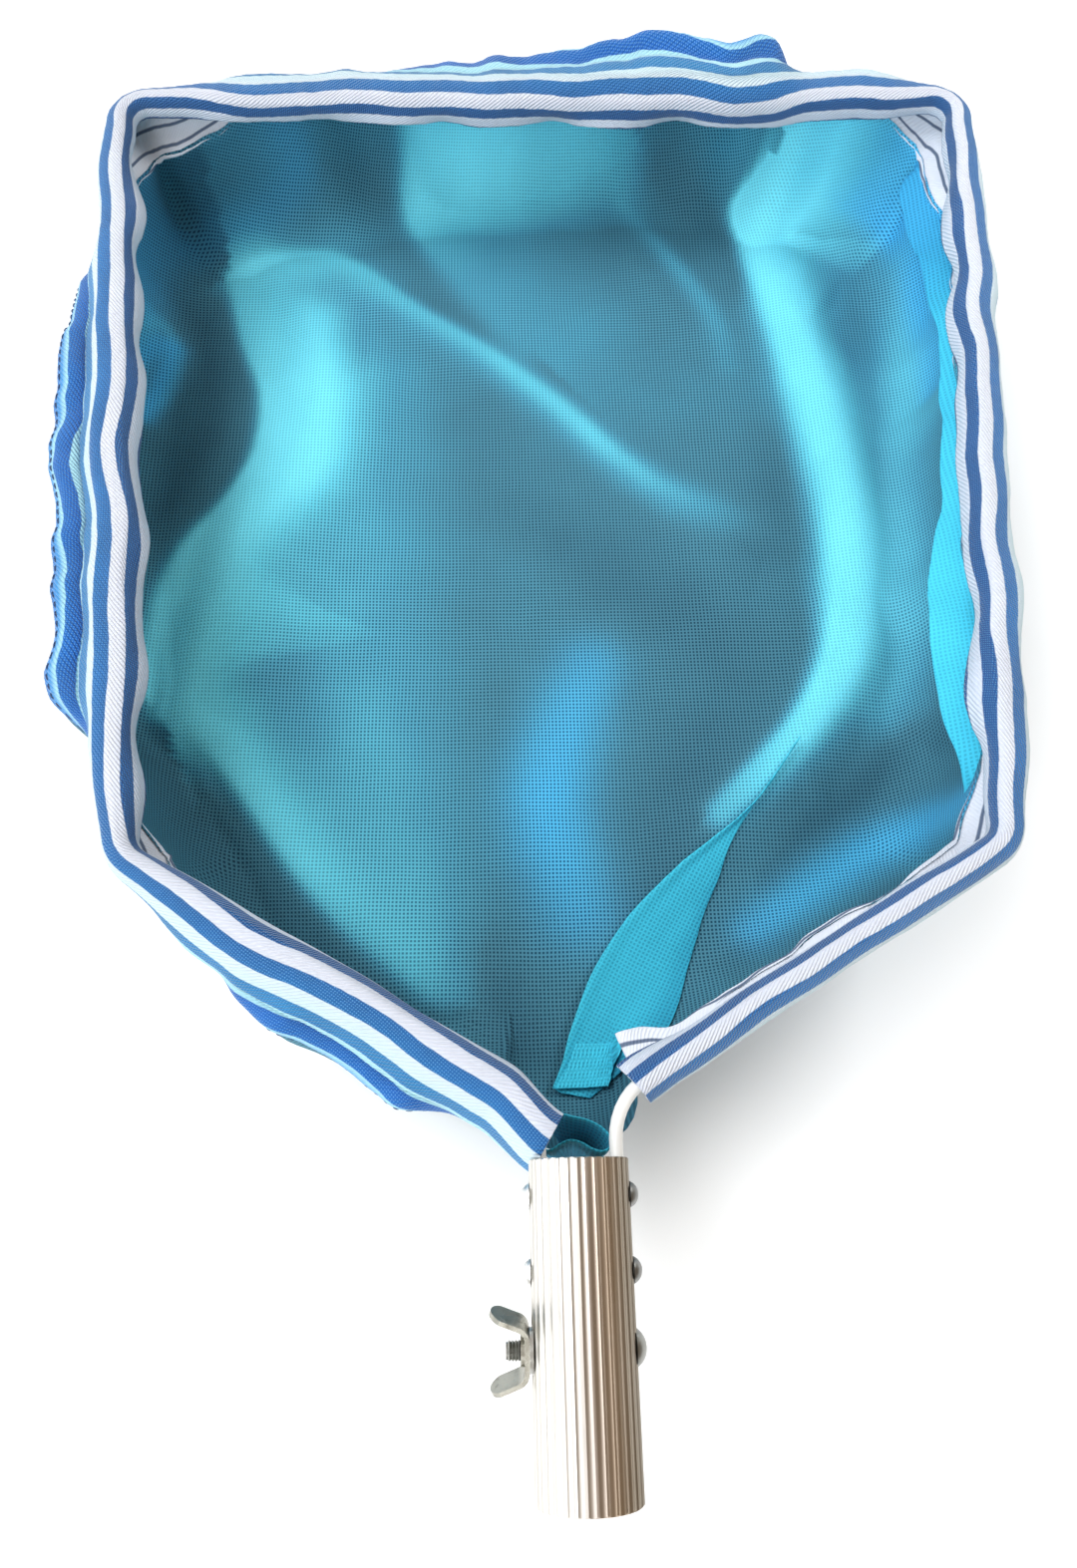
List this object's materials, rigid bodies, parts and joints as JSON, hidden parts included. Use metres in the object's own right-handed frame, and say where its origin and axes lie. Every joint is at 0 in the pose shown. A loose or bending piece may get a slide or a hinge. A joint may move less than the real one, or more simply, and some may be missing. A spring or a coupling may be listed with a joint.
{
  "type": "leaf skimmer net",
  "caption": "Pool net with a bent wire frame riveted into a fluted pole socket, striped binding tape and a fine mesh bag; a cross bolt and wing nut clamp the pole.",
  "frame": {"origin": "centre of the pole socket's mouth, at the free end of the tube", "axes": "+Y runs up the tube to the front edge of the frame, +Z is the open side of the bag, +X is the side of the bolt's head; the pole leaves along -Y"},
  "size_m": [0.4247, 0.6048, 0.093],
  "materials": {
    "tube": "bright drawn, fine flutes along the tube",
    "wire": "smooth white coating",
    "rivets": "satin",
    "hardware": "bright plated, lightly dulled",
    "washer": "bright plated",
    "tape": "woven twill with blue and white stripes",
    "mesh": "fine open plain weave, slightly glossy thread",
    "hem": "the same mesh, doubled",
    "thread": "matt sewing thread"
  },
  "bodies": {
    "handle": {"handle_tube": "tube", "frame_wire": "wire", "frame_rivets": "rivets", "striped_tape": "tape", "mesh_bag": "mesh", "neck_hem": "hem", "seam_thread": "thread"},
    "bolt": {"clamp_bolt": "hardware"},
    "washer": {"bolt_washer": "washer"},
    "wing_nut": {"wing_nut": "hardware"}
  },
  "joints": [
    {"name": "bolt_slide", "type": "slide", "parent": "handle", "child": "bolt", "axis": [1, 0, 0], "range_m": [0, 0.0385]},
    {"name": "washer_slide", "type": "slide", "parent": "handle", "child": "washer", "axis": [-1, 0, 0], "range_m": [0, 0.008]},
    {"name": "wing_nut_turn", "type": "hinge", "parent": "washer", "child": "wing_nut", "pos_m": [-0.0167, 0.0405, 0], "axis": [-1, 0, 0], "range_deg": [0, 2520]}
  ],
  "couplings": [
    {"joint": "washer_slide", "follows": "wing_nut_turn", "m_per_rad": 0.00015915}
  ]
}
